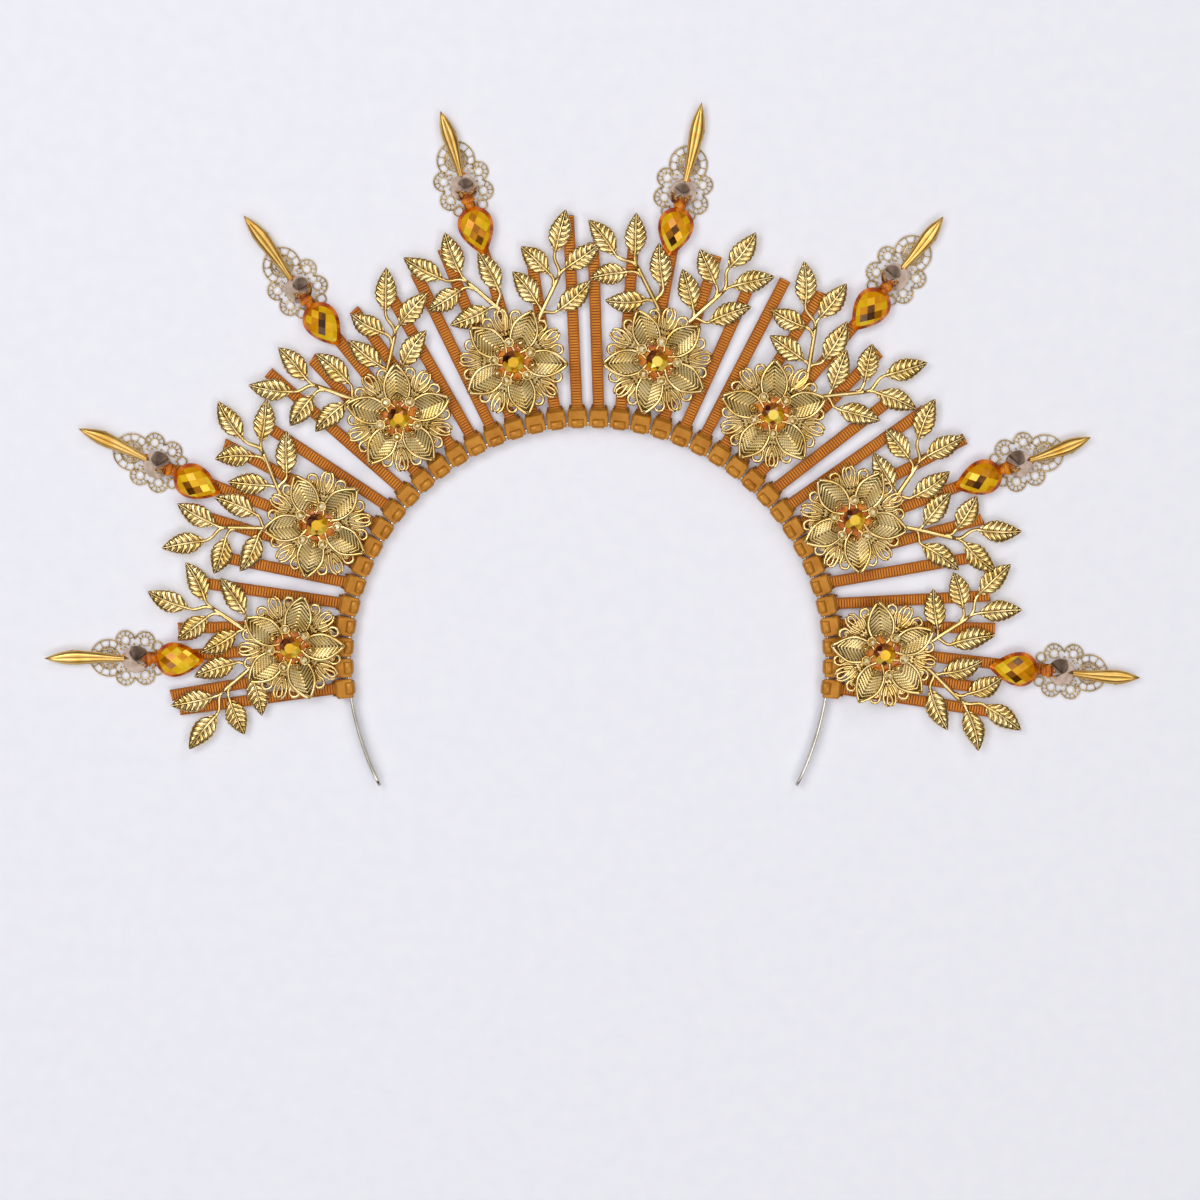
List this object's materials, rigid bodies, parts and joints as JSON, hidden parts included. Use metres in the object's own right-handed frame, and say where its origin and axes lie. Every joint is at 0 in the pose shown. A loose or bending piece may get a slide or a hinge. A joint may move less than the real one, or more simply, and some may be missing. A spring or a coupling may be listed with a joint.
{
  "type": "jewelled sunburst crown headband",
  "caption": "Sunburst crown headband: a metal band set with cable-tie rays, carrying stamped brass flowers, leaf sprays and finials of amber stone, cone stud, filigree and blade.",
  "frame": {"origin": "under the middle of the crown, on the surface that it lies on", "axes": "+X to the right as seen from the front, +Y to the top as worn, +Z out of the front; the crown lies on its back"},
  "size_m": [0.4062, 0.2528, 0.0112],
  "materials": {
    "band_steel": "bright plated steel strip",
    "tie_nylon": "nylon sprayed ochre gold, satin",
    "flower_brass": "stamped brass, pale gold plate",
    "finial_gilt": "satin gold plate",
    "stud_mirror": "mirror rose-gold plate",
    "amber_stone": "cut acrylic, foiled back",
    "amber_glue": "set clear glue over gold"
  },
  "bodies": {
    "root": {"headband": "band_steel", "tie_01": "tie_nylon", "tie_02": "tie_nylon", "tie_03": "tie_nylon", "tie_04": "tie_nylon", "tie_05": "tie_nylon", "tie_06": "tie_nylon", "tie_07": "tie_nylon", "tie_08": "tie_nylon", "tie_09": "tie_nylon", "tie_10": "tie_nylon", "tie_11": "tie_nylon", "tie_12": "tie_nylon", "tie_13": "tie_nylon", "tie_14": "tie_nylon", "tie_15": "tie_nylon", "tie_16": "tie_nylon", "tie_17": "tie_nylon", "tie_18": "tie_nylon", "tie_19": "tie_nylon", "tie_20": "tie_nylon", "tie_21": "tie_nylon", "tie_22": "tie_nylon", "tie_23": "tie_nylon", "tie_24": "tie_nylon", "tie_25": "tie_nylon", "tie_26": "tie_nylon", "tie_27": "tie_nylon", "tie_28": "tie_nylon", "tie_29": "tie_nylon", "tie_30": "tie_nylon", "tie_31": "tie_nylon", "tie_32": "tie_nylon", "tie_33": "tie_nylon", "tie_34": "tie_nylon", "tie_35": "tie_nylon", "tie_36": "tie_nylon", "tie_37": "tie_nylon", "tie_38": "tie_nylon", "tie_39": "tie_nylon", "tie_40": "tie_nylon", "flower_spray_1": "flower_brass", "flower_spray_2": "flower_brass", "flower_spray_3": "flower_brass", "flower_spray_4": "flower_brass", "flower_spray_5": "flower_brass", "flower_spray_6": "flower_brass", "flower_spray_7": "flower_brass", "flower_spray_8": "flower_brass", "finial_1": "finial_gilt", "finial_2": "finial_gilt", "finial_3": "finial_gilt", "finial_4": "finial_gilt", "finial_5": "finial_gilt", "finial_6": "finial_gilt", "finial_7": "finial_gilt", "finial_8": "finial_gilt"}
  },
  "joints": []
}
